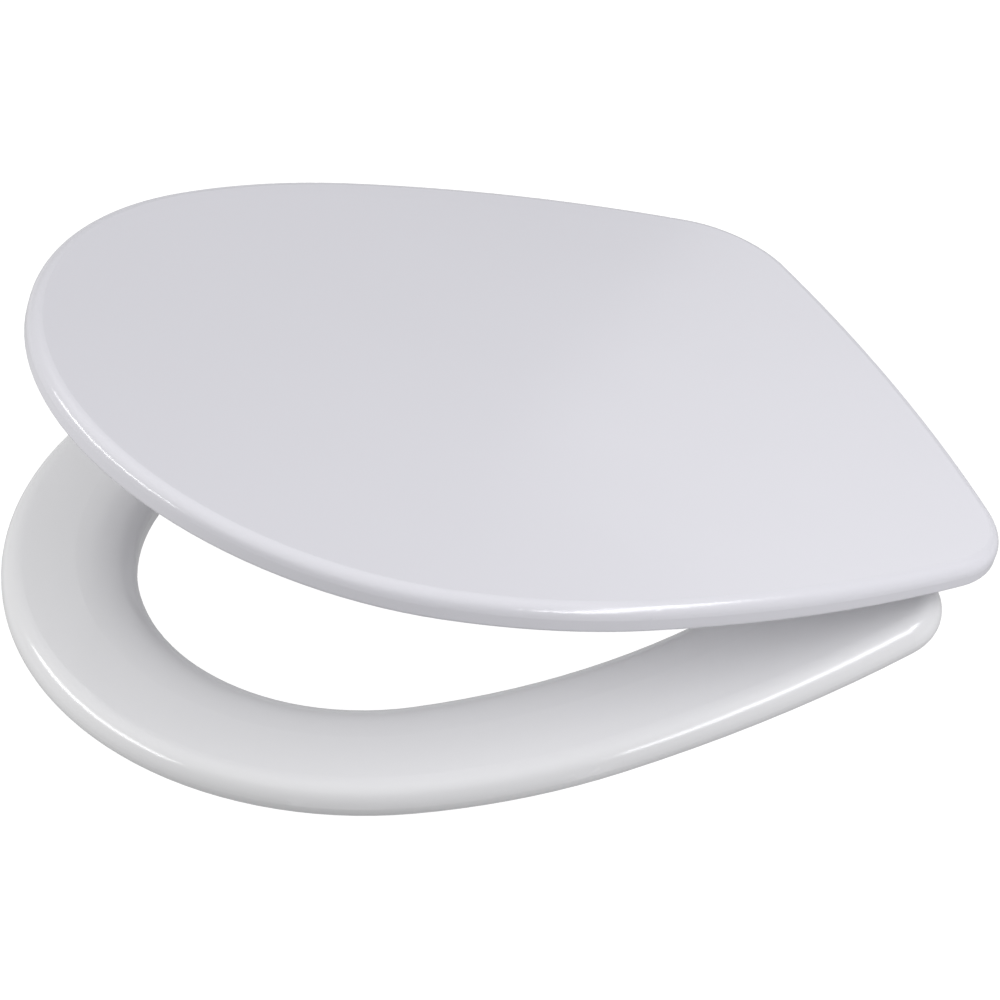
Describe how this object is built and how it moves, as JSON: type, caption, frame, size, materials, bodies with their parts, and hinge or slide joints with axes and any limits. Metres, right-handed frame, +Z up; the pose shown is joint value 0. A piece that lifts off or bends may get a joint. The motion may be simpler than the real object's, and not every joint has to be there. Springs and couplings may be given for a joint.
{
  "type": "toilet seat",
  "caption": "Slim white toilet seat: a rounded ring with a rolled inner edge and a hollow lid, on slow-close hinges with posts and studs that bolt it to a bowl.",
  "frame": {"origin": "on the bowl's deck, midway between the two fixing studs", "axes": "+Z up from the bowl, -Y to the front of the seat, +X to the right as seen from the front"},
  "size_m": [0.373, 0.4657, 0.2041],
  "materials": {
    "white_thermoset": "gloss",
    "grey_rubber": "matte",
    "chromed_bracket": "polished",
    "steel": "satin",
    "nut_plastic": "satin",
    "hinge_plastic": "satin"
  },
  "bodies": {
    "base": {"base_gasket_left": "grey_rubber", "base_gasket_right": "grey_rubber", "centring_cone_left": "grey_rubber", "centring_cone_right": "grey_rubber", "fixing_stud_left": "steel", "fixing_stud_right": "steel", "flat_washer_left": "steel", "flat_washer_right": "steel", "hinge_bracket_left": "chromed_bracket", "hinge_bracket_right": "chromed_bracket", "hinge_pin_left": "steel", "hinge_pin_right": "steel", "lid_damper_rotor": "hinge_plastic", "ring_damper_rotor": "hinge_plastic", "wing_nut_left": "nut_plastic", "wing_nut_right": "nut_plastic"},
    "ring": {"ring_buffer_front_left": "grey_rubber", "ring_buffer_front_right": "grey_rubber", "ring_buffer_rear_left": "grey_rubber", "ring_buffer_rear_right": "grey_rubber", "ring_bush": "hinge_plastic", "ring_damper_body": "hinge_plastic", "ring_damper_cap": "hinge_plastic", "seat_ring": "white_thermoset"},
    "lid": {"lid": "white_thermoset", "lid_buffer_left": "grey_rubber", "lid_buffer_right": "grey_rubber", "lid_bush": "hinge_plastic", "lid_damper_body": "hinge_plastic", "lid_damper_cap": "hinge_plastic"}
  },
  "joints": [
    {"name": "ring_hinge", "type": "hinge", "parent": "base", "child": "ring", "pos_m": [0, 0.0292, 0.0255], "axis": [-1, 0, 0], "range_deg": [0, 95]},
    {"name": "lid_hinge", "type": "hinge", "parent": "ring", "child": "lid", "pos_m": [0, 0.0292, 0.0255], "axis": [-1, 0, 0], "range_deg": [-17, 86]}
  ]
}
